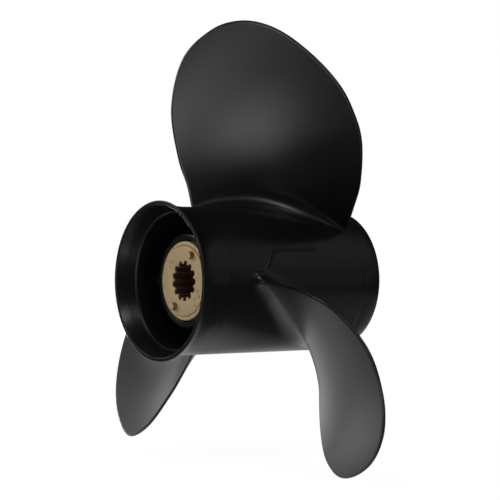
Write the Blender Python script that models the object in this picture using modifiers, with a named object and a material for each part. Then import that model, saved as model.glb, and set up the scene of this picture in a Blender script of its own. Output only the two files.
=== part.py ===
"""Three-bladed right-hand outboard propeller with exhaust through its hub.

The world is in metres, with +Z up and the shaft along +Y, from the flared aft end to the front.
The origin is on the shaft's axis, in the plane where the blades' centre lines leave the barrel.
Sizes below are in millimetres. Each piece is modelled round a shaft that points along its own +Z,
and the empty that carries the pieces turns that shaft on to the world's +Y.
"""

import math

import bmesh
import bpy
import numpy as np

MM = 0.001
GAP = 0.3

# Stations are distances forward from the aft rim, along the shaft
FLARE_SEAM = 18.6
LEDGE_STATION = 10.1
BLADE_STATION = 55.3
FRONT_SEAM = 114.0
FRONT_END = 127.3

# Outer barrel, flare and front collar
BARREL_RADIUS = 41.3
BARREL_BORE = 37.6
RIM_RADIUS = 44.9
RIM_WALL = 2.6
RIM_ROUND = 0.5
FLARE_POWER = 3.0
FLARE_SHARES = (1.0, 0.66, 0.46, 0.3, 0.16, 0.03)
LEDGE_RADIUS = 38.7
FRONT_RADIUS = 39.2
FRONT_BORE = 36.2
COLLAR_POWER = 2.4
COLLAR_SHARES = (0.9, 0.75, 0.55, 0.35)
RING_STEPS = 72

# Inner hub, its bushing and the ribs that carry it
HUB_RADIUS = 26.5
HUB_BORE = 23.0
HUB_AFT = 18.6
HUB_FRONT = 118.0
THRUST_BORE = 17.0
THRUST_WALL = 9.0
BUSHING_AFT = 27.0
BUSHING_FRONT = 104.0
RIB_COUNT = 3
RIB_CLOCK = 30.0
RIB_THICKNESS = 5.0
RIB_AFT = 25.0
RIB_FRONT = 116.0
RIB_BEVEL = 1.0

# Brass drive sleeve, end ring and pins
SLEEVE_RADIUS = 16.0
SLEEVE_FRONT = 121.0
DISC_FACE = 17.3
DISC_RADIUS = 19.6
DISC_THICKNESS = 6.0
RING_FACE = 17.8
RING_RADIUS = 22.1
SPLINE_COUNT = 13
SPLINE_ROOT = 11.3
SPLINE_TOOTH = 9.7
SPLINE_CLOCK = 3.0
SPLINE_STEEPNESS = 1.8
STEPS_PER_SPLINE = 8
PIN_CLOCKS = (30.0, 210.0)
PIN_CIRCLE = 16.4
PIN_RADIUS = 2.1
PIN_HEIGHT = 2.5
PIN_STEPS = 24

# Blades: each section lies on a cylinder round the shaft, along a helix of the stated pitch
BLADE_COUNT = 3
BLADE_CLOCK = -15.0
PITCH = 287.0
RAKE = 14.0
CAMBER = 0.0006
ROOT_THICKNESS = 8.4
TIP_THICKNESS = 2.0
EDGE_THICKNESS = 1.6
BACK_SHARE = 0.9
TIP_RADIUS = 147.5
FILLET_MIDDLE = 16.0
FILLET_TRAILING = 4.5
FILLET_TRAILING_GROWTH = 1.5
FILLET_LEADING = 0.5
FILLET_LEADING_GROWTH = 0.8
TRAILING_DROOP = 2.8
DROOP_REACH = 16.0
BLADE_BURIED = 38.0
BLADE_COLUMNS = 20
BLADE_ROWS = 18
OUTLINE_STEPS = 12

# Radius and arc from the centre line, from the trailing root round the tip to the leading root
BLADE_OUTLINE = [
    (36.0, -20.5),
    (60.0, -18.0),
    (79.0, -19.0),
    (108.5, -16.0),
    (133.0, -2.0),
    (144.5, 21.0),
    (TIP_RADIUS, 42.0),
    (145.0, 62.0),
    (138.0, 81.0),
    (125.5, 103.0),
    (114.0, 110.0),
    (101.0, 109.5),
    (78.5, 97.5),
    (60.0, 83.7),
    (36.0, 65.6),
]


def clear_scene():
    """Remove whatever the file holds."""
    for obj in list(bpy.data.objects):
        bpy.data.objects.remove(obj, do_unlink=True)


def new_collection(name):
    """A collection linked to the scene."""
    collection = bpy.data.collections.new(name)
    bpy.context.scene.collection.children.link(collection)
    return collection


def along(station):
    """Height on a piece's own shaft line, in metres, of a station in millimetres."""
    return (station - BLADE_STATION) * MM


def on_circle(radius, clock, station):
    """A point at an angle clockwise from straight up, as seen from the aft end."""
    angle = math.radians(clock)
    return (radius * MM * math.sin(angle), -radius * MM * math.cos(angle), along(station))


def surface(name, colour, roughness, metallic):
    """One piece's material."""
    material = bpy.data.materials.new(name)
    material.use_nodes = True
    shader = material.node_tree.nodes["Principled BSDF"]
    shader.inputs["Base Color"].default_value = (*colour, 1.0)
    shader.inputs["Roughness"].default_value = roughness
    shader.inputs["Metallic"].default_value = metallic
    material.diffuse_color = (*colour, 1.0)
    return material


def black_paint(name):
    """Satin black paint over the aluminium casting."""
    return surface(name + "_paint", (0.018, 0.018, 0.019), 0.38, 0.0)


def bare_brass(name):
    """Turned brass, dulled."""
    return surface(name + "_brass", (0.62, 0.47, 0.26), 0.4, 1.0)


def black_rubber(name):
    """The bushing's rubber."""
    return surface(name + "_rubber", (0.02, 0.02, 0.02), 0.8, 0.0)


def add_piece(name, mesh, material, where, shaft):
    """An object on the shaft line, in a collection, with its material."""
    obj = bpy.data.objects.new(name, mesh)
    where.objects.link(obj)
    obj.parent = shaft
    if material:
        mesh.materials.append(material)
    return obj


def add_cutter(name, mesh, cutters, shaft):
    """A tool shape that cuts a piece and is not part of the propeller."""
    obj = add_piece(name, mesh, None, cutters, shaft)
    obj.hide_render = True
    obj.display_type = "WIRE"
    return obj


def cut(obj, tool):
    """Take a cutter's volume out of a piece."""
    boolean = obj.modifiers.new("cut_" + tool.name, "BOOLEAN")
    boolean.operation = "DIFFERENCE"
    boolean.solver = "EXACT"
    boolean.object = tool


def turned(name, profile, material, parts, shaft):
    """A ring turned round the shaft: its outer side runs from front to aft, its inner side back."""
    mesh = bpy.data.meshes.new(name)
    points = [(radius * MM, 0.0, along(station)) for radius, station in profile]
    edges = [(i, (i + 1) % len(points)) for i in range(len(points))]
    mesh.from_pydata(points, edges, [])
    obj = add_piece(name, mesh, material, parts, shaft)
    screw = obj.modifiers.new("turn", "SCREW")
    screw.axis = "Z"
    screw.angle = math.tau
    screw.steps = RING_STEPS
    screw.render_steps = RING_STEPS
    screw.use_merge_vertices = True
    screw.merge_threshold = 0.00001
    screw.use_smooth_shade = True
    return obj


def cylinder_mesh(name, radius, first, last, steps):
    """A closed cylinder round the shaft between two stations."""
    mesh = bpy.data.meshes.new(name)
    shape = bmesh.new()
    bmesh.ops.create_cone(
        shape,
        cap_ends=True,
        segments=steps,
        radius1=radius * MM,
        radius2=radius * MM,
        depth=(last - first) * MM,
    )
    bmesh.ops.translate(shape, verts=shape.verts, vec=(0.0, 0.0, along((first + last) / 2)))
    shape.to_mesh(mesh)
    shape.free()
    return mesh


def smooth_curve(points, steps):
    """A Catmull-Rom curve through the points, with steps samples to each stretch."""
    knots = np.array([points[0], *points, points[-1]], float)
    share = np.linspace(0.0, 1.0, steps, endpoint=False)[:, None]
    stretches = []
    for before, start, end, after in zip(knots, knots[1:], knots[2:], knots[3:]):
        linear = (end - before) * share
        square = (2 * before - 5 * start + 4 * end - after) * share**2
        cube = (3 * start - before - 3 * end + after) * share**3
        stretches.append(start + 0.5 * (linear + square + cube))
    return np.vstack([*stretches, knots[-1:]])


def blade_edges(radius):
    """The arcs of the trailing and leading edges at a radius."""
    outline = smooth_curve(BLADE_OUTLINE, OUTLINE_STEPS)
    tip = int(np.argmax(outline[:, 0]))
    trailing = outline[: tip + 1]
    leading = outline[tip:][::-1]
    return (
        np.interp(radius, trailing[:, 0], trailing[:, 1]),
        np.interp(radius, leading[:, 0], leading[:, 1]),
    )


def fillet_width(size, height):
    """How far a quarter-round fillet stands out at a height above its foot."""
    rise = min(max(1.0 - height / size, 0.0), 1.0)
    return size * (1.0 - math.sqrt(1.0 - rise**2))


def fillet_size(from_trailing, from_leading):
    """The root fillet's radius at a point: it tapers off towards both edges."""
    sizes = (
        FILLET_MIDDLE,
        FILLET_TRAILING + FILLET_TRAILING_GROWTH * from_trailing**0.5,
        FILLET_LEADING + FILLET_LEADING_GROWTH * from_leading**0.8,
    )
    return sum(size**-4.0 for size in sizes) ** -0.25


def blade_section(radius):
    """One section at a radius, as (arc, lift) pairs: the back from the trailing edge, then the face."""
    outward = max(0.0, (radius - BARREL_RADIUS) / (TIP_RADIUS - BARREL_RADIUS))
    height = radius - BARREL_RADIUS
    trailing, leading = blade_edges(radius)
    trailing -= fillet_width(FILLET_TRAILING, height)
    leading += fillet_width(FILLET_LEADING, height)
    thickest = ROOT_THICKNESS + (TIP_THICKNESS - ROOT_THICKNESS) * outward
    droop = TRAILING_DROOP * math.exp(-((max(height, 0.0) / DROOP_REACH) ** 1.5))
    back = []
    face = []
    for column in range(BLADE_COLUMNS + 1):
        chord = 0.5 - 0.5 * math.cos(math.pi * column / BLADE_COLUMNS)
        arc = trailing + (leading - trailing) * chord
        bulge = math.sin(math.pi * chord)
        thickness = EDGE_THICKNESS + (thickest - EDGE_THICKNESS) * bulge
        fillet = fillet_size(max(arc - trailing, 0.0), max(leading - arc, 0.0))
        foot = fillet_width(fillet, height)
        bow = CAMBER * (1.0 - outward) ** 2 * arc**2 - droop * (1.0 - chord) ** 3
        back.append((arc, bow + thickness * BACK_SHARE + foot))
        face.append((arc, bow - thickness * (1.0 - BACK_SHARE) - foot))
    return back + face[::-1]


def blade_point(radius, arc, lift, clock):
    """The place of a point of a section, wrapped round the shaft along its helix."""
    outward = (radius - BARREL_RADIUS) / (TIP_RADIUS - BARREL_RADIUS)
    helix = math.atan(PITCH / (math.tau * radius))
    rake = RAKE * (1.0 - (1.0 - outward) ** 2)
    station = BLADE_STATION - rake + arc * math.sin(helix) + lift * math.cos(helix)
    turn = (arc * math.cos(helix) - lift * math.sin(helix)) / radius
    return on_circle(radius, clock + math.degrees(turn), station)


def blade_radii():
    """The radii of the sections: close together in the fillet and at the tip."""
    fillet_top = BARREL_RADIUS + FILLET_MIDDLE
    fillet = [BARREL_RADIUS + FILLET_MIDDLE * share**2 for share in (0.15, 0.35, 0.55, 0.75)]
    blade = []
    for row in range(BLADE_ROWS):
        share = 1.0 - (1.0 - row / BLADE_ROWS) ** 1.8
        blade.append(fillet_top + (TIP_RADIUS - fillet_top) * share)
    return [BLADE_BURIED, *fillet, *blade, TIP_RADIUS - 0.03]


def blade_mesh(name, clock):
    """A loft through the sections, closed across the root and the tip."""
    shape = bmesh.new()
    rings = []
    for radius in blade_radii():
        ring = [
            shape.verts.new(blade_point(radius, arc, lift, clock))
            for arc, lift in blade_section(radius)
        ]
        rings.append(ring)
    count = len(rings[0])
    for lower, upper in zip(rings, rings[1:]):
        for i in range(count):
            j = (i + 1) % count
            shape.faces.new((lower[i], lower[j], upper[j], upper[i]))
    for ring in (rings[0], rings[-1]):
        for i in range(BLADE_COLUMNS):
            shape.faces.new((ring[i], ring[i + 1], ring[count - 2 - i], ring[count - 1 - i]))
    bmesh.ops.recalc_face_normals(shape, faces=shape.faces)
    mesh = bpy.data.meshes.new(name)
    shape.to_mesh(mesh)
    shape.free()
    mesh.shade_smooth()
    mesh.set_sharp_from_angle(angle=math.radians(40))
    return mesh


def make_blades(parts, cutters, shaft):
    """Three equal blades, cut to sit on the barrel."""
    seat = cylinder_mesh("blade_seat", BARREL_RADIUS + GAP, 10.0, 122.0, RING_STEPS)
    seat_cutter = add_cutter("blade_seat", seat, cutters, shaft)
    for index in range(BLADE_COUNT):
        name = f"blade_{index + 1}"
        clock = BLADE_CLOCK + index * 360.0 / BLADE_COUNT
        blade = add_piece(name, blade_mesh(name, clock), black_paint(name), parts, shaft)
        cut(blade, seat_cutter)


def make_barrel(parts, shaft):
    """The cylinder, the flared aft ring and the front collar, which rounds off forward."""
    half = GAP / 2
    barrel = [
        (BARREL_RADIUS, FRONT_SEAM - half),
        (BARREL_RADIUS, FLARE_SEAM + half),
        (BARREL_BORE, FLARE_SEAM + half),
        (BARREL_BORE, FRONT_SEAM - half),
    ]
    turned("outer_barrel", barrel, black_paint("outer_barrel"), parts, shaft)
    rim_bore = RIM_RADIUS - RIM_WALL
    spread = RIM_RADIUS - BARREL_RADIUS
    outside = []
    for share in FLARE_SHARES:
        outside.append((BARREL_RADIUS + spread * (1.0 - share) ** FLARE_POWER, FLARE_SEAM * share))
    outside[0] = (BARREL_RADIUS, FLARE_SEAM - half)
    flare = [
        *outside,
        (RIM_RADIUS - RIM_ROUND, 0.0),
        (rim_bore + RIM_ROUND, 0.0),
        (rim_bore, RIM_ROUND),
        (LEDGE_RADIUS + 1.4, LEDGE_STATION * 0.5),
        (LEDGE_RADIUS, LEDGE_STATION),
        (BARREL_BORE, LEDGE_STATION + 0.8),
        (BARREL_BORE, FLARE_SEAM - half),
    ]
    turned("flare_ring", flare, black_paint("flare_ring"), parts, shaft)
    rounding = []
    for share in COLLAR_SHARES:
        reach = BARREL_RADIUS - (BARREL_RADIUS - FRONT_RADIUS) * share**COLLAR_POWER
        rounding.append((reach, FRONT_SEAM + (FRONT_END - FRONT_SEAM) * share))
    front = [
        (FRONT_RADIUS - RIM_ROUND, FRONT_END),
        *rounding,
        (BARREL_RADIUS, FRONT_SEAM + half),
        (BARREL_BORE, FRONT_SEAM + half),
        (FRONT_BORE, FRONT_SEAM + 4.0),
        (FRONT_BORE, FRONT_END),
    ]
    turned("front_collar", front, black_paint("front_collar"), parts, shaft)


def make_hub(parts, shaft):
    """The inner tube with its thrust wall, and the rubber bushing in it."""
    hub = [
        (HUB_RADIUS - RIM_ROUND, HUB_FRONT),
        (HUB_RADIUS, HUB_FRONT - RIM_ROUND),
        (HUB_RADIUS, HUB_AFT + RIM_ROUND),
        (HUB_RADIUS - RIM_ROUND, HUB_AFT),
        (HUB_BORE, HUB_AFT),
        (HUB_BORE, HUB_FRONT - THRUST_WALL),
        (THRUST_BORE, HUB_FRONT - THRUST_WALL),
        (THRUST_BORE, HUB_FRONT),
    ]
    turned("inner_hub", hub, black_paint("inner_hub"), parts, shaft)
    bushing = [
        (HUB_BORE - GAP, BUSHING_FRONT),
        (HUB_BORE - GAP, BUSHING_AFT),
        (SLEEVE_RADIUS + GAP, BUSHING_AFT),
        (SLEEVE_RADIUS + GAP, BUSHING_FRONT),
    ]
    turned("rubber_bushing", bushing, black_rubber("rubber_bushing"), parts, shaft)


def make_ribs(parts, shaft):
    """Webs between the inner hub and the barrel."""
    inner = HUB_RADIUS + GAP
    outer = math.sqrt((BARREL_BORE - GAP) ** 2 - (RIB_THICKNESS / 2) ** 2)
    for index in range(RIB_COUNT):
        name = f"rib_{index + 1}"
        mesh = bpy.data.meshes.new(name)
        shape = bmesh.new()
        bmesh.ops.create_cube(shape, size=MM)
        size = (RIB_THICKNESS, outer - inner, RIB_FRONT - RIB_AFT)
        bmesh.ops.scale(shape, verts=shape.verts, vec=size)
        shape.to_mesh(mesh)
        shape.free()
        rib = add_piece(name, mesh, black_paint(name), parts, shaft)
        clock = RIB_CLOCK + index * 360.0 / RIB_COUNT
        rib.location = on_circle((inner + outer) / 2, clock, (RIB_AFT + RIB_FRONT) / 2)
        rib.rotation_euler = (0.0, 0.0, math.radians(clock))
        bevel = rib.modifiers.new("cast_edges", "BEVEL")
        bevel.width = RIB_BEVEL * MM
        bevel.segments = 2
        bevel.limit_method = "ANGLE"


def spline_radius(clock):
    """The splined bore's radius at an angle: grooves between blunt teeth."""
    wave = math.cos(math.radians(SPLINE_COUNT * (clock - SPLINE_CLOCK)))
    level = min(max(SPLINE_STEEPNESS * wave, -1.0), 1.0)
    return (SPLINE_ROOT + SPLINE_TOOTH) / 2 + (SPLINE_ROOT - SPLINE_TOOTH) / 2 * level


def spline_mesh(name):
    """A cylinder through the sleeve, drawn out into the grooves."""
    steps = SPLINE_COUNT * STEPS_PER_SPLINE
    mesh = cylinder_mesh(name, SPLINE_ROOT, DISC_FACE - 5.0, SLEEVE_FRONT + 5.0, steps)
    for vertex in mesh.vertices:
        clock = math.degrees(math.atan2(vertex.co.x, -vertex.co.y))
        x, y, _ = on_circle(spline_radius(clock), clock, 0.0)
        vertex.co.x = x
        vertex.co.y = y
    return mesh


def make_sleeve(parts, cutters, shaft):
    """The splined brass sleeve, the ring round its disc and the two pins."""
    sleeve = [
        (SLEEVE_RADIUS, SLEEVE_FRONT),
        (SLEEVE_RADIUS, DISC_FACE + DISC_THICKNESS),
        (DISC_RADIUS, DISC_FACE + DISC_THICKNESS),
        (DISC_RADIUS, DISC_FACE + 0.2),
        (DISC_RADIUS - 0.2, DISC_FACE),
        (SPLINE_TOOTH - 2.0, DISC_FACE),
        (SPLINE_TOOTH - 2.0, SLEEVE_FRONT),
    ]
    blank = turned("drive_sleeve", sleeve, bare_brass("drive_sleeve"), parts, shaft)
    spline = add_cutter("spline_bore", spline_mesh("spline_bore"), cutters, shaft)
    cut(blank, spline)
    ring = [
        (RING_RADIUS, RING_FACE + DISC_THICKNESS),
        (RING_RADIUS, RING_FACE + 0.3),
        (RING_RADIUS - 0.3, RING_FACE),
        (DISC_RADIUS + GAP, RING_FACE),
        (DISC_RADIUS + GAP, RING_FACE + DISC_THICKNESS),
    ]
    turned("end_ring", ring, bare_brass("end_ring"), parts, shaft)
    for index, clock in enumerate(PIN_CLOCKS):
        name = f"pin_{index + 1}"
        mesh = cylinder_mesh(name, PIN_RADIUS, 0.0, PIN_HEIGHT, PIN_STEPS)
        pin = add_piece(name, mesh, bare_brass(name), parts, shaft)
        x, y, height = on_circle(PIN_CIRCLE, clock, DISC_FACE - GAP - PIN_HEIGHT)
        pin.location = (x, y, height - along(0.0))


def build():
    """Make the whole propeller."""
    clear_scene()
    parts = new_collection("outboard_propeller")
    cutters = new_collection("cutters")
    shaft = bpy.data.objects.new("shaft_line", None)
    shaft.rotation_euler = (math.radians(-90.0), 0.0, 0.0)
    parts.objects.link(shaft)
    make_blades(parts, cutters, shaft)
    make_barrel(parts, shaft)
    make_hub(parts, shaft)
    make_ribs(parts, shaft)
    make_sleeve(parts, cutters, shaft)


build()
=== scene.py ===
"""The finish of a three-bladed outboard propeller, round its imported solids.

The frame is in metres, with +Z up and the shaft along +Y from the flared aft end to the front.
Sizes below are in millimetres, and stations are distances forward from the aft rim.
"""

import math

import bpy
import numpy as np
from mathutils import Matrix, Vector


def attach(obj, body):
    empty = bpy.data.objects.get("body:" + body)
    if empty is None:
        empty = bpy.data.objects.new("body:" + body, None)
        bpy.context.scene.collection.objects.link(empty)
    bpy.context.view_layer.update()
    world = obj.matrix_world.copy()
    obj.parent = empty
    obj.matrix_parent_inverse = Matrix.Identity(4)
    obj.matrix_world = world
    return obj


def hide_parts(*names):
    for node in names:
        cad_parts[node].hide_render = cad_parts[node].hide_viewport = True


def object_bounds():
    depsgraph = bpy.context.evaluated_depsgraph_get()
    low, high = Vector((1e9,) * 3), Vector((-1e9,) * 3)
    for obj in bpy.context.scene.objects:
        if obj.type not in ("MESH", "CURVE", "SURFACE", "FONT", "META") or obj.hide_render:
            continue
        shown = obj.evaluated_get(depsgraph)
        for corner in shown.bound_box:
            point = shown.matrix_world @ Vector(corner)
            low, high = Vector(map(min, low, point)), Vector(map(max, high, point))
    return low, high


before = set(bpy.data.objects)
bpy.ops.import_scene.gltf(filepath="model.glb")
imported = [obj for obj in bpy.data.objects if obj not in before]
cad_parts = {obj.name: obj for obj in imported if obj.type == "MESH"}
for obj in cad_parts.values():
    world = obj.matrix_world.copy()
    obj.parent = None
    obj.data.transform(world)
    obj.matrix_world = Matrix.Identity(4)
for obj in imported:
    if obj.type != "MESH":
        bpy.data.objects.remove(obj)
cad_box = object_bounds()

MM = 0.001

# Barrel, flare and front collar
BLADE_STATION = 55.3
FLARE_SEAM = 18.6
LEDGE_STATION = 10.1
FRONT_SEAM = 114.0
FRONT_END = 127.3
BARREL_RADIUS = 41.3
BARREL_BORE = 37.6
RIM_RADIUS = 44.9
RIM_WALL = 2.6
RIM_ROUND = 0.6
FLARE_POWER = 3.0
FLARE_STEPS = 22
LEDGE_RADIUS = 38.7
FRONT_RADIUS = 39.2
FRONT_BORE = 36.2
COLLAR_POWER = 2.4
COLLAR_STEPS = 10
COLLAR_STEP = 0.2
SEAM_WIDTH = 0.9
SEAM_DEPTH = 0.05
BARREL_STEPS = 240

# Inner hub, bushing and webs
HUB_RADIUS = 26.5
HUB_BORE = 23.0
HUB_AFT = 18.6
HUB_FRONT = 118.0
THRUST_BORE = 17.0
THRUST_WALL = 9.0
BUSHING_AFT = 27.0
BUSHING_FRONT = 104.0
HUB_STEPS = 160
WEB_CLOCKS = (30.0, 150.0, 270.0)
WEB_THICKNESS = 5.0
WEB_AFT = 25.0
WEB_FRONT = 116.0
WEB_FILLET = 3.5

# Brass drive sleeve, end ring and pins
SLEEVE_RADIUS = 16.0
SLEEVE_FRONT = 121.0
DISC_FACE = 17.3
DISC_RADIUS = 19.6
DISC_THICKNESS = 6.0
RING_FACE = 17.8
RING_RADIUS = 22.1
RING_GAP = 0.3
SPLINE_COUNT = 13
SPLINE_ROOT = 11.4
SPLINE_TOOTH = 9.4
SPLINE_CLOCK = 8.8
NOTCH_RADIUS = 1.75
STEPS_PER_SPLINE = 28
PIN_CLOCKS = (30.0, 210.0)
PIN_CIRCLE = 16.4
PIN_RADIUS = 2.1
PIN_HEIGHT = 2.8

# Plain punch marks in the disc's face, as radius and clock
PUNCH_MARKS = (
    (14.6, 302.0),
    (16.6, 309.0),
    (14.6, 315.0),
    (15.0, 112.0),
    (17.4, 120.0),
    (15.2, 131.0),
    (17.6, 139.0),
)
PUNCH_RADIUS = 1.0
PUNCH_DEPTH = 0.9

# Blades: each section lies on a cylinder round the shaft, along a helix of the stated pitch
BLADE_CLOCKS = (-15.0, 105.0, 225.0)
PITCH = 287.0
RAKE = 14.0
CAMBER = 0.0006
ROOT_THICKNESS = 8.4
TIP_THICKNESS = 2.0
EDGE_THICKNESS = 1.6
EDGE_ROUND = 1.8
BACK_SHARE = 0.9
TIP_RADIUS = 147.5
FILLET_MIDDLE = 16.0
FILLET_TRAILING = 6.0
FILLET_LEADING = 0.3
FILLET_TRAILING_GROWTH = 1.1
FILLET_LEADING_GROWTH = 0.8
FILLET_LEADING_POWER = 0.8
FILLET_BLEND = 4.0
TRAILING_DROOP = 2.8
DROOP_REACH = 16.0
DROOP_POWER = 1.5
SKIRT_WIDTH = 1.0
SKIRT_DEPTH = 0.1
NOSE_COLUMNS = 16
MIDDLE_COLUMNS = 52
FILLET_ROWS = 22
BLADE_ROWS = 76
OUTLINE_STEPS = 40

# Radius and arc from the centre line, from the trailing root round the tip to the leading root
BLADE_OUTLINE = [
    (36.0, -20.5),
    (60.0, -18.0),
    (79.0, -19.0),
    (108.5, -16.0),
    (133.0, -2.0),
    (144.5, 21.0),
    (TIP_RADIUS, 42.0),
    (145.0, 62.0),
    (138.0, 81.0),
    (125.5, 103.0),
    (114.0, 110.0),
    (101.0, 109.5),
    (78.5, 97.5),
    (60.0, 83.7),
    (36.0, 65.6),
]

# Where the mould's halves met: a bead on the barrel, as clock from a blade's own clock and station
MOULD_LINE = (
    (-18.0, 37.0),
    (-22.6, 44.0),
    (-33.9, 49.3),
    (-38.0, 52.1),
    (-39.2, 55.9),
    (-39.7, 73.6),
    (-40.2, 92.4),
)

# The bead's section, as shares of its width and height: two low ridges beside a crease
MOULD_SECTION = (
    (-0.5, -0.4),
    (-0.4, 0.1),
    (-0.3, 0.3),
    (-0.16, 0.06),
    (0.16, 0.06),
    (0.3, 0.3),
    (0.4, 0.1),
    (0.5, -0.4),
)
MOULD_WIDTH = 2.8
MOULD_HEIGHT = 0.5
MOULD_SUNK = 0.3
CREASE_REACH = 0.2
MOULD_STEPS = 12

# A small lobe of the casting at each trailing root: clock from the blade's and station, the
# radius of its rounding and how far the rounding's centre lies under the barrel's surface
LOBE_PLACE = (-16.5, 40.4)
LOBE_RADIUS = 8.5
LOBE_SINK = 6.7
LOBE_HIDDEN = 1.0

# Satin paint: the two tones of its ripple, its dust and its rubbed edges
PAINT_DARK = (0.01, 0.01, 0.0105)
PAINT_LIGHT = (0.015, 0.015, 0.0155)
PAINT_DUST = (0.06, 0.058, 0.055)
PAINT_DUST_SHARE = 0.06
PAINT_RUBBED = (0.11, 0.11, 0.112)
PAINT_RUBBED_SHARE = 0.12
PAINT_ROUGH = 0.28
PAINT_BARE_ROUGH = 0.6
PAINT_BUMP = 0.25

# Turned brass: the two tones of its face, its stains, and the painted shade that darkens the bore
# and the pins' sides
BRASS_DARK = (0.98, 0.72, 0.37)
BRASS_LIGHT = (1.0, 0.8, 0.47)
BRASS_STAIN = (0.32, 0.22, 0.11)
BRASS_STAIN_SHARE = 0.22
BRASS_ROUGH = 0.5
BRASS_METAL = 0.3
# painted shade: the bore's dark tone, and the reach and depth over which it darkens the bore and
# the pins' sides
BORE_SHADE_TONE = (0.2, 0.105, 0.077)
SHADE_MARGIN = 0.6
SHADE_START = 0.2
SHADE_FULL = 1.4
SIDE_SHADE = 0.7

# Bushing rubber
RUBBER_DARK = (0.012, 0.012, 0.012)
RUBBER_LIGHT = (0.045, 0.044, 0.042)


def along(station):
    """Place on the shaft, in metres, of a station in millimetres."""
    return (station - BLADE_STATION) * MM


def on_circle(radius, clock, station):
    """A point at an angle clockwise from straight up, as seen from the aft end."""
    angle = math.radians(clock)
    return Vector((radius * MM * math.sin(angle), along(station), radius * MM * math.cos(angle)))


# Modelling helpers


def deselect_all():
    """Leave nothing selected in object mode."""
    bpy.ops.object.select_all(action="DESELECT")


def name_new(name):
    """The primitive that was just added, renamed."""
    piece = bpy.context.object
    piece.name = name
    piece.data.name = name
    return piece


def activate(piece):
    """Make a piece the only selected one."""
    deselect_all()
    piece.select_set(True)
    bpy.context.view_layer.objects.active = piece


def close_up(piece, merge=0.000002):
    """Merge doubled vertices and turn every face outwards."""
    activate(piece)
    bpy.ops.object.mode_set(mode="EDIT")
    bpy.ops.mesh.select_all(action="SELECT")
    bpy.ops.mesh.remove_doubles(threshold=merge)
    bpy.ops.mesh.normals_make_consistent(inside=False)
    bpy.ops.object.mode_set(mode="OBJECT")


def smooth(piece, angle=35.0):
    """Shade a piece smooth, with its real corners kept sharp."""
    activate(piece)
    bpy.ops.object.shade_smooth_by_angle(angle=math.radians(angle))


def rounded_profile(corners, steps=6):
    """A cross-section's points: a corner with a rounding becomes an arc."""
    points = []
    count = len(corners)
    for index, (radius, station, rounding) in enumerate(corners):
        corner = np.array((radius, station), float)
        if rounding <= 0.0:
            points.append(corner)
            continue
        before = np.array(corners[index - 1][:2], float) - corner
        after = np.array(corners[(index + 1) % count][:2], float) - corner
        before /= np.linalg.norm(before)
        after /= np.linalg.norm(after)
        half = 0.5 * math.acos(float(np.clip(before @ after, -1.0, 1.0)))
        middle = before + after
        centre = corner + middle / np.linalg.norm(middle) * rounding / math.sin(half)
        start = corner + before * rounding / math.tan(half) - centre
        end = corner + after * rounding / math.tan(half) - centre
        sweep = math.pi - 2.0 * half
        for step in range(steps + 1):
            share = step / steps
            first = math.sin((1.0 - share) * sweep) / math.sin(sweep)
            last = math.sin(share * sweep) / math.sin(sweep)
            points.append(centre + start * first + end * last)
    return points


def turned_piece(name, profile, steps):
    """A closed cross-section, drawn beside the shaft and spun once round it."""
    deselect_all()
    bpy.ops.mesh.primitive_circle_add(vertices=len(profile), radius=MM)
    piece = name_new(name)
    for vertex, (radius, station) in zip(piece.data.vertices, profile):
        vertex.co = (radius * MM, along(station), 0.0)
    activate(piece)
    bpy.ops.object.mode_set(mode="EDIT")
    bpy.ops.mesh.select_all(action="SELECT")
    bpy.ops.mesh.spin(steps=steps, angle=math.tau, center=(0, 0, 0), axis=(0, 1, 0))
    bpy.ops.object.mode_set(mode="OBJECT")
    close_up(piece)
    return piece


def repeat_round(pattern, name, clocks, angle, material, node=None):
    """Copies of a pattern, each with its own mesh, turned to their clocks and finished."""
    for index, clock in enumerate(clocks, start=1):
        piece = pattern.copy()
        piece.data = pattern.data.copy()
        piece.name = f"{name}_{index}"
        piece.data.name = piece.name
        bpy.context.scene.collection.objects.link(piece)
        piece.rotation_euler = (0.0, math.radians(clock), 0.0)
        activate(piece)
        bpy.ops.object.transform_apply(location=True, rotation=True, scale=True)
        smooth(piece, angle)
        nodes = [f"{node}_{index}"] if node else []
        finish_piece(piece, material, "black_paint", *nodes)
    bpy.data.objects.remove(pattern, do_unlink=True)


def finish_piece(piece, material, slot, *nodes):
    """Give a piece its finish, its body and the solids that it stands for."""
    piece.data.materials.clear()
    piece.data.materials.append(material)
    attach(piece, "root")
    if nodes:
        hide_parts(*nodes)


# Node groups that the finishes share


def new_group(name, inputs, outputs):
    """An empty shader group with its sockets: name and default, or name and kind."""
    group = bpy.data.node_groups.new(name, "ShaderNodeTree")
    for label, value in inputs:
        socket = group.interface.new_socket(label, in_out="INPUT", socket_type="NodeSocketFloat")
        socket.default_value = value
    for label, kind in outputs:
        group.interface.new_socket(label, in_out="OUTPUT", socket_type=kind)
    entry = group.nodes.new("NodeGroupInput")
    exit_node = group.nodes.new("NodeGroupOutput")
    return group, entry, exit_node


def add_node(tree, kind, **settings):
    """A node with its settings."""
    node = tree.nodes.new(kind)
    for label, value in settings.items():
        setattr(node, label, value)
    return node


def add_math(tree, operation, *values, clamp=False):
    """A maths node fed by sockets or numbers; gives its output socket."""
    node = add_node(tree, "ShaderNodeMath", operation=operation, use_clamp=clamp)
    for index, value in enumerate(values):
        if isinstance(value, (int, float)):
            node.inputs[index].default_value = value
        else:
            tree.links.new(value, node.inputs[index])
    return node.outputs[0]


def add_noise(tree, coordinates, scale, detail=3.0, roughness=0.55):
    """A noise on some coordinates; gives its factor socket."""
    noise = add_node(tree, "ShaderNodeTexNoise")
    noise.inputs["Detail"].default_value = detail
    noise.inputs["Roughness"].default_value = roughness
    if isinstance(scale, (int, float)):
        noise.inputs["Scale"].default_value = scale
    else:
        tree.links.new(scale, noise.inputs["Scale"])
    tree.links.new(coordinates, noise.inputs["Vector"])
    return noise.outputs["Fac"]


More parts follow.
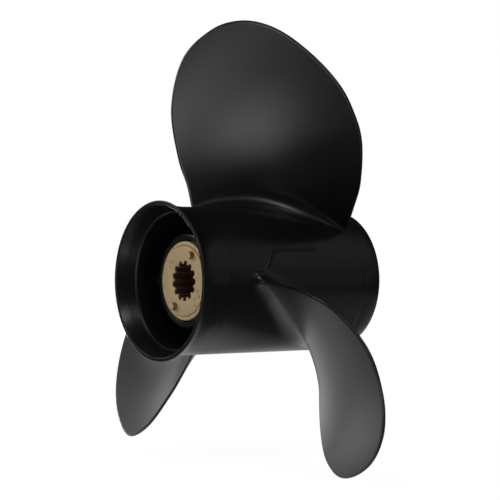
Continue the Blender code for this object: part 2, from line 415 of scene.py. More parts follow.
def round_shaft(tree, place):
    """The sockets of a place's distance from the shaft's axis and of its way forward."""
    parts = add_node(tree, "ShaderNodeSeparateXYZ")
    tree.links.new(place, parts.inputs[0])
    square = add_math(tree, "MULTIPLY", parts.outputs["X"], parts.outputs["X"])
    total = add_math(tree, "MULTIPLY_ADD", parts.outputs["Z"], parts.outputs["Z"], square)
    return add_math(tree, "SQRT", total), parts.outputs["Y"]


def make_cast_grain():
    """Soft unevenness of a painted casting: a fine grain, a slower ripple and a dust mask."""
    group, entry, leave = new_group(
        "cast_grain",
        (("Grain Scale", 900.0), ("Ripple Scale", 60.0), ("Dust Scale", 35.0)),
        (("Height", "NodeSocketFloat"), ("Ripple", "NodeSocketFloat"), ("Dust", "NodeSocketFloat")),
    )
    place = add_node(group, "ShaderNodeTexCoord").outputs["Object"]
    grain = add_noise(group, place, entry.outputs["Grain Scale"], 2.0, 0.5)
    ripple = add_noise(group, place, entry.outputs["Ripple Scale"], 3.0, 0.5)
    dust = add_noise(group, place, entry.outputs["Dust Scale"], 6.0, 0.65)
    height = add_math(group, "MULTIPLY_ADD", grain, 0.35, ripple)
    group.links.new(height, leave.inputs["Height"])
    group.links.new(ripple, leave.inputs["Ripple"])
    level = add_node(group, "ShaderNodeMapRange")
    level.inputs["From Min"].default_value = 0.45
    level.inputs["From Max"].default_value = 0.75
    group.links.new(dust, level.inputs["Value"])
    group.links.new(level.outputs["Result"], leave.inputs["Dust"])
    return group


def make_edge_wear():
    """A mask along outside edges, broken up by noise."""
    group, entry, leave = new_group(
        "edge_wear",
        (("Start", 0.53), ("Full", 0.62), ("Break Up", 500.0)),
        (("Mask", "NodeSocketFloat"),),
    )
    place = add_node(group, "ShaderNodeTexCoord").outputs["Object"]
    pointiness = add_node(group, "ShaderNodeNewGeometry").outputs["Pointiness"]
    level = add_node(group, "ShaderNodeMapRange")
    group.links.new(pointiness, level.inputs["Value"])
    group.links.new(entry.outputs["Start"], level.inputs["From Min"])
    group.links.new(entry.outputs["Full"], level.inputs["From Max"])
    broken = add_noise(group, place, entry.outputs["Break Up"], 4.0, 0.6)
    shaped = add_math(group, "MULTIPLY", broken, 1.6)
    mask = add_math(group, "MULTIPLY", level.outputs["Result"], shaped, clamp=True)
    group.links.new(mask, leave.inputs["Mask"])
    return group


def make_turned_lines():
    """Fine rings left by a lathe, round the shaft."""
    group, entry, leave = new_group(
        "turned_lines",
        (("Lines Per Metre", 2600.0),),
        (("Height", "NodeSocketFloat"), ("Tone", "NodeSocketFloat")),
    )
    place = add_node(group, "ShaderNodeTexCoord").outputs["Object"]
    radius, forward = round_shaft(group, place)
    both = add_math(group, "ADD", radius, forward)
    line = add_node(group, "ShaderNodeCombineXYZ")
    group.links.new(both, line.inputs["X"])
    rings = add_noise(group, line.outputs[0], entry.outputs["Lines Per Metre"], 3.0, 0.6)
    tone = add_noise(group, place, 90.0, 4.0, 0.6)
    group.links.new(rings, leave.inputs["Height"])
    group.links.new(tone, leave.inputs["Tone"])
    return group


# Finishes


def new_finish(name):
    """A new material with its tree and its shader."""
    material = bpy.data.materials.new(name)
    material.use_nodes = True
    tree = material.node_tree
    return material, tree, tree.nodes["Principled BSDF"]


def place_group(tree, group, **values):
    """A group in a material with its own values."""
    node = add_node(tree, "ShaderNodeGroup")
    node.node_tree = group
    for label, value in values.items():
        node.inputs[label.replace("_", " ").title()].default_value = value
    return node


def mix_colour(tree, factor, first, second):
    """Two colours mixed by a socket; gives the colour socket."""
    mix = add_node(tree, "ShaderNodeMix", data_type="RGBA")
    tree.links.new(factor, mix.inputs["Factor"])
    for label, value in (("A", first), ("B", second)):
        socket = [s for s in mix.inputs if s.name == label and s.type == "RGBA"][0]
        if isinstance(value, tuple):
            socket.default_value = (*value, 1.0)
        else:
            tree.links.new(value, socket)
    return [s for s in mix.outputs if s.type == "RGBA"][0]


def range_of(tree, value, low, high):
    """A socket's 0 to 1 spread over a range."""
    level = add_node(tree, "ShaderNodeMapRange")
    level.inputs["To Min"].default_value = low
    level.inputs["To Max"].default_value = high
    tree.links.new(value, level.inputs["Value"])
    return level.outputs["Result"]


def soft_step(tree, value, start, full, level):
    """A socket's rise from 0 at the start to a level, with soft ends."""
    step = add_node(tree, "ShaderNodeMapRange", interpolation_type="SMOOTHSTEP")
    step.inputs["From Min"].default_value = start
    step.inputs["From Max"].default_value = full
    step.inputs["To Max"].default_value = level
    tree.links.new(value, step.inputs["Value"])
    return step.outputs["Result"]


def add_bump(tree, height, distance, strength, shader):
    """A bump that feeds the shader's normal."""
    bump = add_node(tree, "ShaderNodeBump")
    bump.inputs["Distance"].default_value = distance
    bump.inputs["Strength"].default_value = strength
    tree.links.new(height, bump.inputs["Height"])
    tree.links.new(bump.outputs["Normal"], shader.inputs["Normal"])


def satin_paint(grain, wear):
    """Satin black paint on cast aluminium, with a little dust, rubbed edges and bare creases."""
    material, tree, shader = new_finish("satin_black_paint")
    cast = place_group(tree, grain)
    rubbed = place_group(tree, wear)
    tone = mix_colour(tree, cast.outputs["Ripple"], PAINT_DARK, PAINT_LIGHT)
    dusted = add_math(tree, "MULTIPLY", cast.outputs["Dust"], PAINT_DUST_SHARE)
    dusty = mix_colour(tree, dusted, tone, PAINT_DUST)
    worn = add_math(tree, "MULTIPLY", rubbed.outputs["Mask"], PAINT_RUBBED_SHARE)
    colour = mix_colour(tree, worn, dusty, PAINT_RUBBED)
    tree.links.new(colour, shader.inputs["Base Color"])
    spread = range_of(tree, cast.outputs["Dust"], PAINT_ROUGH - 0.005, PAINT_ROUGH + 0.01)
    bare = add_node(tree, "ShaderNodeAttribute", attribute_name="dull")
    dull = add_math(tree, "MULTIPLY", bare.outputs["Fac"], PAINT_BARE_ROUGH)
    tree.links.new(add_math(tree, "ADD", spread, dull), shader.inputs["Roughness"])
    add_bump(tree, cast.outputs["Height"], 0.00004, PAINT_BUMP, shader)
    return material


def painted_shade_mask(tree):
    """Where shade is painted into the brass: full inside the sleeve's bore and partly on the pins'
    sides, none on the end faces.
    """
    coordinates = add_node(tree, "ShaderNodeTexCoord")
    radius, forward = round_shaft(tree, coordinates.outputs["Object"])
    within = add_math(tree, "LESS_THAN", radius, (SPLINE_ROOT + SHADE_MARGIN) * MM)
    depth = add_node(tree, "ShaderNodeMapRange")
    depth.inputs["From Min"].default_value = along(DISC_FACE + SHADE_START)
    depth.inputs["From Max"].default_value = along(DISC_FACE + SHADE_FULL)
    tree.links.new(forward, depth.inputs["Value"])
    bore = add_math(tree, "MULTIPLY", within, depth.outputs["Result"])
    facing = add_node(tree, "ShaderNodeSeparateXYZ")
    tree.links.new(coordinates.outputs["Normal"], facing.inputs[0])
    endways = add_math(tree, "ABSOLUTE", facing.outputs["Y"])
    sideways = soft_step(tree, endways, 0.85, 0.5, SIDE_SHADE)
    standing = add_math(tree, "LESS_THAN", forward, along(DISC_FACE - 0.05))
    side = add_math(tree, "MULTIPLY", sideways, standing)
    return add_math(tree, "MAXIMUM", bore, side)


def turned_brass(grain, lines):
    """Dulled turned brass, with painted shade darkening it inside the bore and on the sides of the
    pins.
    """
    material, tree, shader = new_finish("turned_brass")
    turned = place_group(tree, lines)
    cast = place_group(tree, grain, grain_scale=1500.0, ripple_scale=220.0, dust_scale=110.0)
    colour = mix_colour(tree, turned.outputs["Tone"], BRASS_DARK, BRASS_LIGHT)
    stained = add_math(tree, "MULTIPLY", cast.outputs["Dust"], BRASS_STAIN_SHARE)
    tarnished = mix_colour(tree, stained, colour, BRASS_STAIN)
    # painted shade: a dark brown inside the bore and on the pins' sides stands in for the shade
    # there, and those places are made less metallic
    shade_share = painted_shade_mask(tree)
    shaded_colour = mix_colour(tree, shade_share, tarnished, BORE_SHADE_TONE)
    tree.links.new(shaded_colour, shader.inputs["Base Color"])
    spread = range_of(tree, turned.outputs["Tone"], BRASS_ROUGH - 0.05, BRASS_ROUGH + 0.08)
    tree.links.new(spread, shader.inputs["Roughness"])
    metal = range_of(tree, shade_share, BRASS_METAL, 0.0)
    tree.links.new(metal, shader.inputs["Metallic"])
    add_bump(tree, turned.outputs["Height"], 0.00003, 0.35, shader)
    return material


def bushing_rubber(grain):
    """Dull black rubber."""
    material, tree, shader = new_finish("bushing_rubber")
    cast = place_group(tree, grain, grain_scale=1800.0, ripple_scale=140.0)
    colour = mix_colour(tree, cast.outputs["Dust"], RUBBER_DARK, RUBBER_LIGHT)
    tree.links.new(colour, shader.inputs["Base Color"])
    spread = range_of(tree, cast.outputs["Ripple"], 0.7, 0.95)
    tree.links.new(spread, shader.inputs["Roughness"])
    add_bump(tree, cast.outputs["Height"], 0.00008, 0.6, shader)
    return material


# Barrel, hub and webs


def cast_barrel(paint):
    """The flare, barrel and front collar as the one casting that they are."""
    rim_bore = RIM_RADIUS - RIM_WALL
    spread = RIM_RADIUS - BARREL_RADIUS
    inside = [
        (FRONT_BORE, FRONT_END, RIM_ROUND),
        (FRONT_BORE, FRONT_SEAM + 4.0, 2.0),
        (BARREL_BORE, FRONT_SEAM, 2.0),
        (BARREL_BORE, LEDGE_STATION + 0.8, 0.3),
        (LEDGE_RADIUS, LEDGE_STATION, 0.25),
        ((LEDGE_RADIUS + rim_bore) * 0.5 - 0.1, LEDGE_STATION * 0.5, 8.0),
        (rim_bore, 0.0, RIM_ROUND),
    ]
    rim = [(RIM_RADIUS, 0.0, RIM_ROUND)]
    flare = []
    for step in range(1, FLARE_STEPS + 1):
        share = step / FLARE_STEPS
        reach = BARREL_RADIUS + spread * (1.0 - share) ** FLARE_POWER
        flare.append((reach, FLARE_SEAM * share, 0.0))
    seam = [
        (BARREL_RADIUS - SEAM_DEPTH, FLARE_SEAM + SEAM_WIDTH * 0.5, 0.0),
        (BARREL_RADIUS, FLARE_SEAM + SEAM_WIDTH, 0.0),
    ]
    front = [
        (BARREL_RADIUS, FRONT_SEAM - SEAM_WIDTH, 0.0),
        (BARREL_RADIUS - COLLAR_STEP * 0.15, FRONT_SEAM - SEAM_WIDTH * 0.7, 0.0),
        (BARREL_RADIUS - COLLAR_STEP * 0.85, FRONT_SEAM - SEAM_WIDTH * 0.3, 0.0),
    ]
    for step in range(COLLAR_STEPS + 1):
        share = step / COLLAR_STEPS
        reach = BARREL_RADIUS - COLLAR_STEP
        reach -= (reach - FRONT_RADIUS) * share**COLLAR_POWER
        rounding = 1.0 if step == COLLAR_STEPS else 0.0
        front.append((reach, FRONT_SEAM + (FRONT_END - FRONT_SEAM) * share, rounding))
    profile = rounded_profile(inside + rim + flare + seam + front)
    piece = turned_piece("cast_barrel", profile, BARREL_STEPS)
    smooth(piece, 40.0)
    finish_piece(piece, paint, "black_paint", "outer_barrel", "flare_ring", "front_collar")


def hub_tube(paint):
    """The inner tube with its thrust wall."""
    corners = [
        (HUB_RADIUS, HUB_FRONT, 1.0),
        (HUB_RADIUS, HUB_AFT, 1.1),
        (HUB_BORE, HUB_AFT, 0.5),
        (HUB_BORE, HUB_FRONT - THRUST_WALL, 1.0),
        (THRUST_BORE, HUB_FRONT - THRUST_WALL, 0.5),
        (THRUST_BORE, HUB_FRONT, 0.6),
    ]
    piece = turned_piece("hub_tube", rounded_profile(corners), HUB_STEPS)
    smooth(piece)
    finish_piece(piece, paint, "black_paint", "inner_hub")


def bushing(rubber):
    """The rubber pressed between the hub and the brass sleeve."""
    corners = [
        (HUB_BORE - 0.05, BUSHING_FRONT, 1.0),
        (HUB_BORE - 0.05, BUSHING_AFT, 1.4),
        (HUB_BORE - 2.2, BUSHING_AFT + 1.6, 1.0),
        (SLEEVE_RADIUS + 2.2, BUSHING_AFT + 1.6, 1.0),
        (SLEEVE_RADIUS + 0.05, BUSHING_AFT, 1.0),
        (SLEEVE_RADIUS + 0.05, BUSHING_FRONT, 1.0),
    ]
    piece = turned_piece("bushing", rounded_profile(corners), HUB_STEPS)
    smooth(piece)
    finish_piece(piece, rubber, "rubber", "rubber_bushing")


def web_outline():
    """The cross-section of a web at clock 0: from the hub out to the barrel, with fillets."""
    half = WEB_THICKNESS / 2
    fillet = WEB_FILLET
    inner = HUB_RADIUS - 0.2
    outer = BARREL_BORE + 0.2
    steps = 8
    turns = [math.radians(90.0 * step / steps) for step in range(steps + 1)]
    side = []
    for turn in turns:
        width = half + fillet * (1.0 - math.sin(turn))
        side.append((width, inner + fillet * (1.0 - math.cos(turn))))
    for turn in turns:
        width = half + fillet * (1.0 - math.cos(turn))
        side.append((width, outer - fillet * (1.0 - math.sin(turn))))
    settled = []
    for width, reach in side:
        radius = max(reach, inner)
        settled.append((width, math.sqrt(max(radius**2 - width**2, 0.0))))
    return settled + [(-width, reach) for width, reach in reversed(settled)]


def cast_webs(paint):
    """Three webs between the hub and the barrel, drawn as sections and extruded forward."""
    outline = web_outline()
    deselect_all()
    bpy.ops.mesh.primitive_circle_add(vertices=len(outline), radius=MM, fill_type="NGON")
    pattern = name_new("web_pattern")
    for vertex, (width, reach) in zip(pattern.data.vertices, outline):
        vertex.co = (width * MM, along(WEB_AFT), reach * MM)
    activate(pattern)
    bpy.ops.object.mode_set(mode="EDIT")
    bpy.ops.mesh.select_all(action="SELECT")
    length = (WEB_FRONT - WEB_AFT) * MM
    bpy.ops.mesh.extrude_region_move(TRANSFORM_OT_translate={"value": (0.0, length, 0.0)})
    bpy.ops.object.mode_set(mode="OBJECT")
    close_up(pattern)
    bevel = pattern.modifiers.new("cast_ends", "BEVEL")
    bevel.width = 0.8 * MM
    bevel.segments = 3
    bevel.limit_method = "ANGLE"
    bevel.angle_limit = math.radians(60.0)
    activate(pattern)
    bpy.ops.object.modifier_apply(modifier=bevel.name)
    repeat_round(pattern, "web", WEB_CLOCKS, 35.0, paint, "rib")


# Blades


def smooth_curve(points, steps):
    """A Catmull-Rom curve through the points, with steps samples to each stretch."""
    knots = np.array([points[0], *points, points[-1]], float)
    share = np.linspace(0.0, 1.0, steps, endpoint=False)[:, None]
    stretches = []
    for before, start, end, after in zip(knots, knots[1:], knots[2:], knots[3:]):
        linear = (end - before) * share
        square = (2 * before - 5 * start + 4 * end - after) * share**2
        cube = (3 * start - before - 3 * end + after) * share**3
        stretches.append(start + 0.5 * (linear + square + cube))
    return np.vstack([*stretches, knots[-1:]])


OUTLINE = smooth_curve(BLADE_OUTLINE, OUTLINE_STEPS)


def blade_edges(radius):
    """The arcs of the trailing and leading edges at a radius."""
    tip = int(np.argmax(OUTLINE[:, 0]))
    trailing = OUTLINE[: tip + 1]
    leading = OUTLINE[tip:][::-1]
    return (
        float(np.interp(radius, trailing[:, 0], trailing[:, 1])),
        float(np.interp(radius, leading[:, 0], leading[:, 1])),
    )


def edge_distance(radius, arcs):
    """How far points of a row lie inside the blade's outline."""
    start = OUTLINE[:-1]
    step = OUTLINE[1:] - start
    points = np.stack([np.full(len(arcs), radius), arcs], axis=1)[:, None, :]
    share = ((points - start) * step).sum(axis=2) / (step**2).sum(axis=1)
    nearest = start + np.clip(share, 0.0, 1.0)[..., None] * step
    return np.linalg.norm(points - nearest, axis=2).min(axis=1)


def fillet_width(size, height):
    """How far a quarter-round fillet stands out at a height above its foot."""
    rise = np.clip(1.0 - height / size, 0.0, 1.0)
    return size * (1.0 - np.sqrt(1.0 - rise**2))


def row_arcs(radius):
    """The arcs of a row's columns: close together round the two edges."""
    trailing, leading = blade_edges(radius)
    nose = min(EDGE_ROUND, 0.25 * (leading - trailing))
    turn = np.linspace(0.0, math.pi / 2, NOSE_COLUMNS, endpoint=False)
    first = trailing + nose * (1.0 - np.cos(turn))
    chord = 0.5 - 0.5 * np.cos(np.linspace(0.0, math.pi, MIDDLE_COLUMNS + 1))
    middle = trailing + nose + (leading - trailing - 2.0 * nose) * chord
    last = leading - nose * (1.0 - np.cos(turn[::-1]))
    return np.concatenate([first, middle, last]), trailing, leading


def blade_loop(radius):
    """The closed section at a radius, as arcs and lifts: the back, then the face."""
    outward = max(0.0, (radius - BARREL_RADIUS) / (TIP_RADIUS - BARREL_RADIUS))
    arcs, trailing, leading = row_arcs(radius)
    chord = np.clip((arcs - trailing) / max(leading - trailing, 1e-6), 0.0, 1.0)
    bulge = np.sin(math.pi * chord)
    thickest = ROOT_THICKNESS + (TIP_THICKNESS - ROOT_THICKNESS) * outward
    inside = np.clip(edge_distance(radius, arcs) / EDGE_ROUND, 0.0, 1.0)
    roundness = np.sqrt(np.clip(1.0 - (1.0 - inside) ** 2, 0.0, 1.0))
    thickness = (EDGE_THICKNESS + (thickest - EDGE_THICKNESS) * bulge) * roundness
    height = max(radius - BARREL_RADIUS, 0.0)
    fading = math.exp(-((height / DROOP_REACH) ** DROOP_POWER))
    droop = TRAILING_DROOP * fading * (1.0 - chord) ** 3
    bow = CAMBER * (1.0 - outward) ** 2 * arcs**2 - droop
    middle_lift = EDGE_THICKNESS * (BACK_SHARE - 0.5)
    back = bow + middle_lift * (1.0 - roundness) + thickness * BACK_SHARE
    face = bow + middle_lift * (1.0 - roundness) - thickness * (1.0 - BACK_SHARE)
    from_trailing = FILLET_TRAILING + FILLET_TRAILING_GROWTH * np.sqrt(np.abs(arcs - trailing))
    leading_growth = np.abs(leading - arcs) ** FILLET_LEADING_POWER
    from_leading = FILLET_LEADING + FILLET_LEADING_GROWTH * leading_growth
    inverse = [size**-FILLET_BLEND for size in (FILLET_MIDDLE, from_trailing, from_leading)]
    fillet = sum(inverse) ** (-1.0 / FILLET_BLEND)
    loop = np.concatenate(
        [np.stack([arcs, back], axis=1), np.stack([arcs, face], axis=1)[::-1][1:-1]]
    )
    sizes = np.concatenate([fillet, fillet[::-1][1:-1]])
    if radius < BARREL_RADIUS + FILLET_MIDDLE:
        way = np.roll(loop, -1, axis=0) - np.roll(loop, 1, axis=0)
        outward_way = np.stack([-way[:, 1], way[:, 0]], axis=1)
        outward_way /= np.linalg.norm(outward_way, axis=1)[:, None]
        stand_out = fillet_width(sizes, height)
        if radius < BARREL_RADIUS:
            stand_out = stand_out + SKIRT_WIDTH
        loop = loop + outward_way * stand_out[:, None]
    return loop


def blade_point(radius, arc, lift, clock):
    """The place of a point of a section, wrapped round the shaft along its helix."""
    outward = (radius - BARREL_RADIUS) / (TIP_RADIUS - BARREL_RADIUS)
    helix = math.atan(PITCH / (math.tau * radius))
    rake = RAKE * (1.0 - (1.0 - outward) ** 2)
    station = BLADE_STATION - rake + arc * math.sin(helix) + lift * math.cos(helix)
    turn = (arc * math.cos(helix) - lift * math.sin(helix)) / radius
    return on_circle(radius, clock + math.degrees(turn), station)


def blade_radii():
    """The radii of the rows: close together in the fillet and at the tip."""
    fillet = [FILLET_MIDDLE * (row / FILLET_ROWS) ** 2 for row in range(FILLET_ROWS)]
    fillet_top = BARREL_RADIUS + FILLET_MIDDLE
    tip = float(OUTLINE[:, 0].max())
    blade = []
    for row in range(BLADE_ROWS + 1):
        share = 1.0 - (1.0 - row / BLADE_ROWS) ** 2.0
        blade.append(fillet_top + (tip - fillet_top) * share)
    return [BARREL_RADIUS - SKIRT_DEPTH, *[BARREL_RADIUS + h for h in fillet], *blade]


def cast_blades(paint):
    """Three equal blades: a grid is wrapped round the sections and closed at its edges."""
    radii = blade_radii()
    loops = [blade_loop(radius) for radius in radii]
    around = len(loops[0])
    deselect_all()
    bpy.ops.mesh.primitive_grid_add(x_subdivisions=around, y_subdivisions=len(radii) - 1, size=1.0)
    pattern = name_new("blade_pattern")
    for vertex in pattern.data.vertices:
        column = round((vertex.co.x + 0.5) * around) % around
        row = round((vertex.co.y + 0.5) * (len(radii) - 1))
        arc, lift = loops[row][column]
        vertex.co = blade_point(radii[row], arc, lift, 0.0)
    close_up(pattern, 0.000004)
    repeat_round(pattern, "cast_blade", BLADE_CLOCKS, 60.0, paint, "blade")


def mould_beads(paint):
    """The creased bead where the mould's halves met, from each trailing root forward."""
    path = smooth_curve(MOULD_LINE, MOULD_STEPS)
    columns = len(MOULD_SECTION) - 1
    rows = len(path) - 1
    deselect_all()
    bpy.ops.mesh.primitive_grid_add(x_subdivisions=columns, y_subdivisions=rows, size=1.0)
    pattern = name_new("mould_pattern")
    flat = np.array([(BARREL_RADIUS * math.radians(clock), station) for clock, station in path])
    way = np.gradient(flat, axis=0)
    way /= np.linalg.norm(way, axis=1)[:, None]
    depth = [0.0] * len(pattern.data.vertices)
    for vertex in pattern.data.vertices:
        column = round((vertex.co.x + 0.5) * columns)
        row = round((vertex.co.y + 0.5) * rows)
        fade = min(1.0, (rows - row) / 10.0, (row + 2) / 3.0)
        across, height = MOULD_SECTION[column]
        aside = np.array([-way[row][1], way[row][0]]) * across * MOULD_WIDTH
        arc, station = flat[row] + aside
        rise = (height + MOULD_SUNK) * MOULD_HEIGHT * fade - MOULD_SUNK * MOULD_HEIGHT
        vertex.co = on_circle(BARREL_RADIUS + rise, math.degrees(arc / BARREL_RADIUS), station)
        depth[vertex.index] = fade if abs(across) < CREASE_REACH else 0.0
    crease = pattern.data.attributes.new("dull", "FLOAT", "POINT")
    crease.data.foreach_set("value", depth)
    close_up(pattern)
    repeat_round(pattern, "mould_bead", BLADE_CLOCKS, 60.0, paint)


def root_lobes(paint):
    """The small rounded lobe that the casting has beside each trailing root."""
    clock, station = LOBE_PLACE
    deselect_all()
    bpy.ops.mesh.primitive_uv_sphere_add(segments=48, ring_count=32, radius=LOBE_RADIUS * MM)
    pattern = name_new("lobe_pattern")
    for vertex in pattern.data.vertices:
        turn = clock + math.degrees(vertex.co.x / MM / BARREL_RADIUS)
        rise = max(vertex.co.z / MM - LOBE_SINK, -LOBE_HIDDEN)
        vertex.co = on_circle(BARREL_RADIUS + rise, turn, station + vertex.co.y / MM)
    close_up(pattern)
    repeat_round(pattern, "root_lobe", BLADE_CLOCKS, 60.0, paint)


# Brass pieces


def spline_radius(clock):
    """The splined bore's radius at an angle: round notches between blunt teeth."""
    pitch = 360.0 / SPLINE_COUNT
    aside = math.radians((clock - SPLINE_CLOCK + pitch / 2) % pitch - pitch / 2)
    centre = SPLINE_ROOT - NOTCH_RADIUS
    left = NOTCH_RADIUS**2 - (centre * math.sin(aside)) ** 2
    if left <= 0.0:
        return SPLINE_TOOTH
    return max(SPLINE_TOOTH, centre * math.cos(aside) + math.sqrt(left))


def brass_sleeve(brass):
    """The splined sleeve: turned with a plain bore, which is then drawn out into the grooves."""
    corners = [
        (SPLINE_TOOTH, SLEEVE_FRONT, 0.3),
        (SLEEVE_RADIUS, SLEEVE_FRONT, 0.6),
        (SLEEVE_RADIUS, DISC_FACE + DISC_THICKNESS, 0.3),
        (DISC_RADIUS, DISC_FACE + DISC_THICKNESS, 0.3),
        (DISC_RADIUS, DISC_FACE, 0.3),
        (SPLINE_TOOTH, DISC_FACE, 0.3),
    ]
    steps = SPLINE_COUNT * STEPS_PER_SPLINE
    piece = turned_piece("brass_sleeve", rounded_profile(corners), steps)
    for vertex in piece.data.vertices:
        radius = math.hypot(vertex.co.x, vertex.co.z) / MM
        if radius < SPLINE_TOOTH + 0.5:
            clock = math.degrees(math.atan2(vertex.co.x, vertex.co.z))
            wanted = radius + spline_radius(clock) - SPLINE_TOOTH
            vertex.co.x *= wanted / radius
            vertex.co.z *= wanted / radius
    smooth(piece, 30.0)
    finish_piece(piece, brass, "brass", "drive_sleeve")
    return piece


def brass_ring(brass):
    """The ring round the sleeve's disc, a little lower than its face."""
    corners = [
        (RING_RADIUS, RING_FACE + DISC_THICKNESS, 0.4),
        (RING_RADIUS, RING_FACE, 0.5),
        (DISC_RADIUS + RING_GAP, RING_FACE, 0.15),
        (DISC_RADIUS + RING_GAP, RING_FACE + DISC_THICKNESS, 0.15),
    ]
    piece = turned_piece("brass_ring", rounded_profile(corners), HUB_STEPS)
    smooth(piece, 30.0)
    finish_piece(piece, brass, "brass", "end_ring")


def brass_pins(brass):
    """The two short pins that stand on the disc."""
    for index, clock in enumerate(PIN_CLOCKS):
        deselect_all()
        centre = on_circle(PIN_CIRCLE, clock, DISC_FACE - PIN_HEIGHT / 2 + 0.05)
        bpy.ops.mesh.primitive_cylinder_add(
            vertices=48,
            radius=PIN_RADIUS * MM,
            depth=(PIN_HEIGHT + 0.1) * MM,
            location=centre,
            rotation=(math.radians(90.0), 0.0, 0.0),
        )
        pin = name_new(f"brass_pin_{index + 1}")
        bpy.ops.object.transform_apply(location=True, rotation=True, scale=True)
        bevel = pin.modifiers.new("turned_edges", "BEVEL")
        bevel.width = 0.3 * MM
        bevel.segments = 3
        bevel.limit_method = "ANGLE"
        activate(pin)
        bpy.ops.object.modifier_apply(modifier=bevel.name)
        smooth(pin, 35.0)
        finish_piece(pin, brass, "brass", f"pin_{index + 1}")


def punch_dots(sleeve):
    """Small round punch dots in the disc's face."""
    deselect_all()
    tools = []
    for radius, clock in PUNCH_MARKS:
        bpy.ops.mesh.primitive_uv_sphere_add(
            segments=20,
            ring_count=12,
            radius=PUNCH_RADIUS * MM,
            location=on_circle(radius, clock, DISC_FACE + PUNCH_DEPTH - PUNCH_RADIUS),
        )
        tools.append(bpy.context.object)
    deselect_all()
    for tool in tools:
        tool.select_set(True)
    bpy.context.view_layer.objects.active = tools[0]
    bpy.ops.object.join()
    punch = name_new("punch")
    activate(sleeve)
    dent = sleeve.modifiers.new("punched", "BOOLEAN")
    dent.operation = "DIFFERENCE"
    dent.solver = "EXACT"
    dent.object = punch
    bpy.ops.object.modifier_apply(modifier=dent.name)
    bpy.data.objects.remove(punch, do_unlink=True)
    smooth(sleeve, 30.0)


# Camera, lights and table

CAMERA_PLACE = (0.8164, -0.5990, 0.0167)
CAMERA_LINE = (-0.8025, 0.5967, 0.0005)
CAMERA_LENS = 128.2
CAMERA_SENSOR = 36.0

# Soft oval lights: name, azimuth from straight aft towards the right, distance, height, width,
# tallness and watts
LIGHTS = (
    ("aft_low", 1.8, 1.6, -0.25, 0.8, 1.6, 9.4),
    ("aft_high", -9.6, 1.6, 0.6, 0.64, 1.6, 8.8),
    ("aft_top", 10.0, 1.0, 1.4, 1.0, 1.0, 1.2),
    ("left", -90.0, 1.3, 0.1, 0.5, 0.5, 0.9),
    ("left_aft", -75.0, 1.3, 0.1, 0.5, 0.5, 0.18),
    ("left_low", -90.0, 1.3, -0.3, 0.5, 0.5, 22.0),
    ("left_high", -75.0, 1.3, 0.5, 0.5, 0.5, 2.0),
    ("left_top", -90.0, 1.3, 0.5, 0.5, 0.5, 2.6),
    ("left_near", -45.0, 1.3, 0.5, 0.5, 0.5, 5.0),
    ("right_aft", 50.0, 1.3, 1.6, 1.1, 1.1, 5.2),
    ("right_high", 67.0, 1.3, 1.6, 0.6, 0.6, 6.5),
    ("right_top", 80.0, 1.3, 1.3, 0.8, 0.8, 2.5),
    ("right_front", 100.0, 1.3, 0.6, 0.8, 0.8, 1.0),
    ("front_high", 145.0, 1.3, 1.0, 2.0, 1.6, 1.5),
    ("front", 125.0, 1.3, 0.5, 1.0, 1.0, 0.4),
    ("front_low", 130.0, 1.3, 0.0, 0.7, 0.7, 0.25),
    ("front_far", 150.0, 1.3, 0.3, 1.2, 1.0, 0.3),
)
WHITE = (1.0, 1.0, 1.0, 1.0)
BACKDROP = 1.0
ROOM = 0.022
TABLE_SEEN = 0.95
TABLE_RADIUS = 0.42

# Painted light on the table, which glows with it for everything but the camera: an even share and a
# stronger one at the left, with the places where it starts and is full; brighter painted spots of
# light and a painted soft shadow of the propeller, each with its place, radius and strength
TABLE_EVEN = 0.14
TABLE_LEFT = 0.46
TABLE_LEFTWARD = (0.15, -0.25)
TABLE_FORWARD = (-0.15, -0.05)
TABLE_SPOTS = (
    ((0.09, -0.36, 0.0), 0.24, 0.48),
    ((0.02, -0.005, 0.0), 0.09, 0.75),
    ((0.1, -0.085, 0.0), 0.06, 1.2),
)
TABLE_SHADE = ((0.035, 0.075, 0.0), 0.11, 0.9)


def make_camera():
    """The photograph's level view of the aft right side."""
    camera_data = bpy.data.cameras.new("view")
    camera_data.lens = CAMERA_LENS
    camera_data.sensor_width = CAMERA_SENSOR
    camera_data.clip_start = 0.01
    camera_data.clip_end = 50.0
    camera = bpy.data.objects.new("view", camera_data)
    camera.location = CAMERA_PLACE
    camera.rotation_euler = Vector(CAMERA_LINE).to_track_quat("-Z", "Y").to_euler()
    bpy.context.scene.collection.objects.link(camera)
    bpy.context.scene.camera = camera


def fade_edges(light):
    """Let a light fade from its middle to its rim."""
    light.use_nodes = True
    tree = light.node_tree
    place = add_node(tree, "ShaderNodeNewGeometry").outputs["Parametric"]
    offset = add_node(tree, "ShaderNodeVectorMath", operation="SUBTRACT")
    offset.inputs[1].default_value = (0.5, 0.5, 0.0)
    tree.links.new(place, offset.inputs[0])
    square = add_node(tree, "ShaderNodeVectorMath", operation="DOT_PRODUCT")
    tree.links.new(offset.outputs["Vector"], square.inputs[0])
    tree.links.new(offset.outputs["Vector"], square.inputs[1])
    falling = add_math(tree, "MULTIPLY_ADD", square.outputs["Value"], -4.0, 1.0, clamp=True)
    soft = add_math(tree, "POWER", falling, 2.0)
    tree.links.new(soft, tree.nodes["Emission"].inputs["Strength"])


def make_lights():
    """Soft oval lights, turned to the propeller."""
    for name, azimuth, distance, height, width, tallness, power in LIGHTS:
        data = bpy.data.lights.new(name, "AREA")
        data.shape = "ELLIPSE"
        data.size = width
        data.size_y = tallness
        data.energy = power
        fade_edges(data)
        light = bpy.data.objects.new(name, data)
        angle = math.radians(azimuth)
        place = Vector((math.sin(angle), -math.cos(angle), 0.0)) * distance
        place.z = height
        light.location = place
        light.rotation_euler = (-place).to_track_quat("-Z", "Y").to_euler()
        light.visible_camera = False
        bpy.context.scene.collection.objects.link(light)


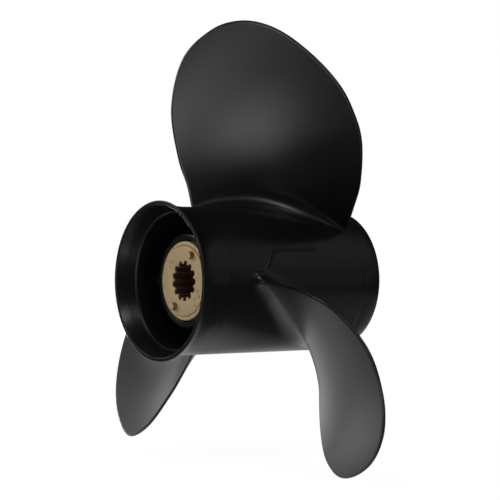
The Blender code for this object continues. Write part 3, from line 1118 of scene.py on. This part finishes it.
def make_surroundings():
    """A white backdrop for the camera and a dark, even room for the reflections."""
    world = bpy.data.worlds.new("studio")
    bpy.context.scene.world = world
    world.use_nodes = True
    tree = world.node_tree
    room = tree.nodes["Background"]
    room.inputs["Color"].default_value = WHITE
    room.inputs["Strength"].default_value = ROOM
    backdrop = add_node(tree, "ShaderNodeBackground")
    backdrop.inputs["Color"].default_value = WHITE
    backdrop.inputs["Strength"].default_value = BACKDROP
    path = add_node(tree, "ShaderNodeLightPath")
    mix = add_node(tree, "ShaderNodeMixShader")
    tree.links.new(path.outputs["Is Camera Ray"], mix.inputs[0])
    tree.links.new(room.outputs[0], mix.inputs[1])
    tree.links.new(backdrop.outputs[0], mix.inputs[2])
    tree.links.new(mix.outputs[0], tree.nodes["World Output"].inputs["Surface"])


def soft_spot(tree, place, centre, radius, level):
    """A level that falls off softly from a centre to a radius."""
    away = add_node(tree, "ShaderNodeVectorMath", operation="DISTANCE")
    away.inputs[1].default_value = centre
    tree.links.new(place, away.inputs[0])
    return soft_step(tree, away.outputs["Value"], radius, 0.0, level)


def make_floor():
    """A plain pale table top under the lowest blade, nearly as light as the backdrop; for all but
    the camera it glows with painted light and a painted propeller shadow.
    """
    deselect_all()
    centre = (0.0, 0.0, cad_box[0][2])
    bpy.ops.mesh.primitive_circle_add(
        vertices=128, radius=TABLE_RADIUS, fill_type="NGON", location=centre
    )
    floor = name_new("table_top")
    material, tree, shader = new_finish("pale_glowing_table")
    shader.inputs["Base Color"].default_value = (0.3, 0.3, 0.3, 1.0)
    shader.inputs["Roughness"].default_value = 1.0
    shader.inputs["Specular IOR Level"].default_value = 0.0
    shader.inputs["Emission Color"].default_value = WHITE
    place = add_node(tree, "ShaderNodeTexCoord").outputs["Object"]
    parts = add_node(tree, "ShaderNodeSeparateXYZ")
    tree.links.new(place, parts.inputs[0])
    across = soft_step(tree, parts.outputs["X"], *TABLE_LEFTWARD, TABLE_LEFT)
    leftward = add_math(tree, "ADD", across, TABLE_EVEN)
    forward = soft_step(tree, parts.outputs["Y"], *TABLE_FORWARD, 1.0)
    painted_glow = add_math(tree, "MULTIPLY", leftward, forward)
    for spot in TABLE_SPOTS:
        painted_glow = add_math(tree, "ADD", painted_glow, soft_spot(tree, place, *spot))
    lit = add_math(tree, "SUBTRACT", 1.0, soft_spot(tree, place, *TABLE_SHADE))
    painted_glow = add_math(tree, "MULTIPLY", painted_glow, lit)
    # painted light: other rays see the table's painted glow and shadow, camera rays an even pale
    path = add_node(tree, "ShaderNodeLightPath")
    seen = add_node(tree, "ShaderNodeMix", data_type="FLOAT")
    tree.links.new(path.outputs["Is Camera Ray"], seen.inputs["Factor"])
    tree.links.new(painted_glow, seen.inputs["A"])
    seen.inputs["B"].default_value = TABLE_SEEN
    tree.links.new(seen.outputs["Result"], shader.inputs["Emission Strength"])
    floor.data.materials.append(material)


def main():
    """Dress the propeller and set the stage."""
    make_camera()
    grain = make_cast_grain()
    wear = make_edge_wear()
    lines = make_turned_lines()
    paint = satin_paint(grain, wear)
    brass = turned_brass(grain, lines)
    rubber = bushing_rubber(grain)
    cast_barrel(paint)
    hub_tube(paint)
    bushing(rubber)
    cast_webs(paint)
    cast_blades(paint)
    mould_beads(paint)
    root_lobes(paint)
    sleeve = brass_sleeve(brass)
    punch_dots(sleeve)
    brass_ring(brass)
    brass_pins(brass)
    make_lights()
    make_surroundings()
    make_floor()
    bpy.context.scene.view_settings.view_transform = "Standard"


main()
